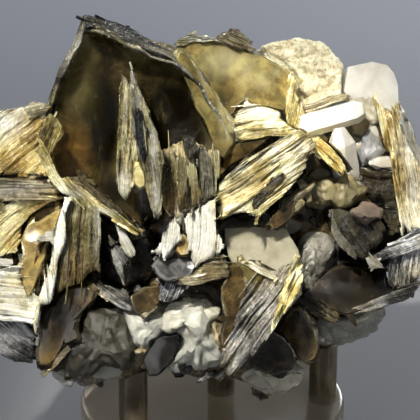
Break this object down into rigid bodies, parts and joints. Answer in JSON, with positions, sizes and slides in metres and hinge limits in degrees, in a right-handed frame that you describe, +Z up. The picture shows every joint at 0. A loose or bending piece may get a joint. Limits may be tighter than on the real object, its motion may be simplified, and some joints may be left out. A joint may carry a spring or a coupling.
{
  "type": "muscovite specimen",
  "caption": "Cluster of muscovite mica books on quartz and albite matrix, resting on a round clear stand with steel pegs.",
  "frame": {"origin": "centre of the bounding box in plan, at the underside of the stand's base", "axes": "+Z up, -Y towards the viewer of the show face, +X to that viewer's right"},
  "size_m": [0.1026, 0.0696, 0.1028],
  "materials": {
    "acrylic": "clear polished acrylic",
    "albite": "white opaque feldspar, satin",
    "muscovite_brown": "brown translucent mica, glossy sheet faces",
    "muscovite_dark": "dark brown translucent mica, glossy sheet faces",
    "muscovite_golden": "golden mica, satin sheet edges",
    "muscovite_olive": "olive translucent mica, pearly",
    "muscovite_silver": "silvery white mica, bright sheet edges",
    "peg_steel": "dark steel rod",
    "quartz": "milky translucent quartz, waxy"
  },
  "bodies": {
    "root": {"albite_bar_left": "albite", "albite_blade": "albite", "albite_chip": "albite", "albite_point": "albite", "muscovite_back_crown": "muscovite_golden", "muscovite_back_left": "muscovite_silver", "muscovite_back_right": "muscovite_golden", "muscovite_back_shoulder": "muscovite_olive", "muscovite_back_spine": "muscovite_silver", "muscovite_blade_left_rim": "muscovite_silver", "muscovite_blade_recess": "muscovite_silver", "muscovite_blade_roof": "muscovite_golden", "muscovite_blade_under_main": "muscovite_silver", "muscovite_book_crest": "muscovite_silver", "muscovite_book_left_foot": "muscovite_brown", "muscovite_book_left_inner": "muscovite_brown", "muscovite_book_left_upright": "muscovite_olive", "muscovite_book_lower_brown": "muscovite_brown", "muscovite_book_lower_fan": "muscovite_silver", "muscovite_book_lower_right": "muscovite_dark", "muscovite_book_main": "muscovite_dark", "muscovite_book_recess": "muscovite_dark", "muscovite_book_right_edge": "muscovite_golden", "muscovite_book_right_fan": "muscovite_dark", "muscovite_book_right_inner": "muscovite_brown", "muscovite_book_upper_right": "muscovite_olive", "muscovite_fin_left": "muscovite_silver", "muscovite_fin_right": "muscovite_silver", "muscovite_flake_recess": "muscovite_silver", "muscovite_flake_shoulder": "muscovite_olive", "muscovite_plate_amber": "muscovite_brown", "muscovite_plate_black": "muscovite_dark", "muscovite_plate_dark_left": "muscovite_dark", "muscovite_plate_dark_right": "muscovite_dark", "muscovite_plate_glassy": "muscovite_brown", "muscovite_plate_left_scoop": "muscovite_golden", "muscovite_plate_right_low": "muscovite_silver", "muscovite_plate_saddle_brown": "muscovite_brown", "muscovite_sheaf_centre": "muscovite_olive", "muscovite_sheaf_centre_low": "muscovite_silver", "muscovite_sheaf_diagonal": "muscovite_silver", "muscovite_sheaf_diagonal_foot": "muscovite_golden", "muscovite_sheaf_ledge": "muscovite_silver", "muscovite_sheaf_left_bottom": "muscovite_dark", "muscovite_sheaf_left_low": "muscovite_silver", "muscovite_sheaf_left_slope": "muscovite_golden", "muscovite_sheaf_left_top": "muscovite_golden", "muscovite_sheaf_left_upper": "muscovite_silver", "muscovite_sheaf_recess_low": "muscovite_silver", "muscovite_sheaf_right_low": "muscovite_silver", "muscovite_sheaf_saddle": "muscovite_silver", "muscovite_tongue_centre_low": "muscovite_silver", "quartz_crystal_centre": "quartz", "quartz_crystal_upper_right": "quartz", "quartz_matrix": "quartz", "stand_base": "acrylic", "stand_peg_back": "peg_steel", "stand_peg_front": "peg_steel", "stand_peg_right": "peg_steel"}
  },
  "joints": []
}
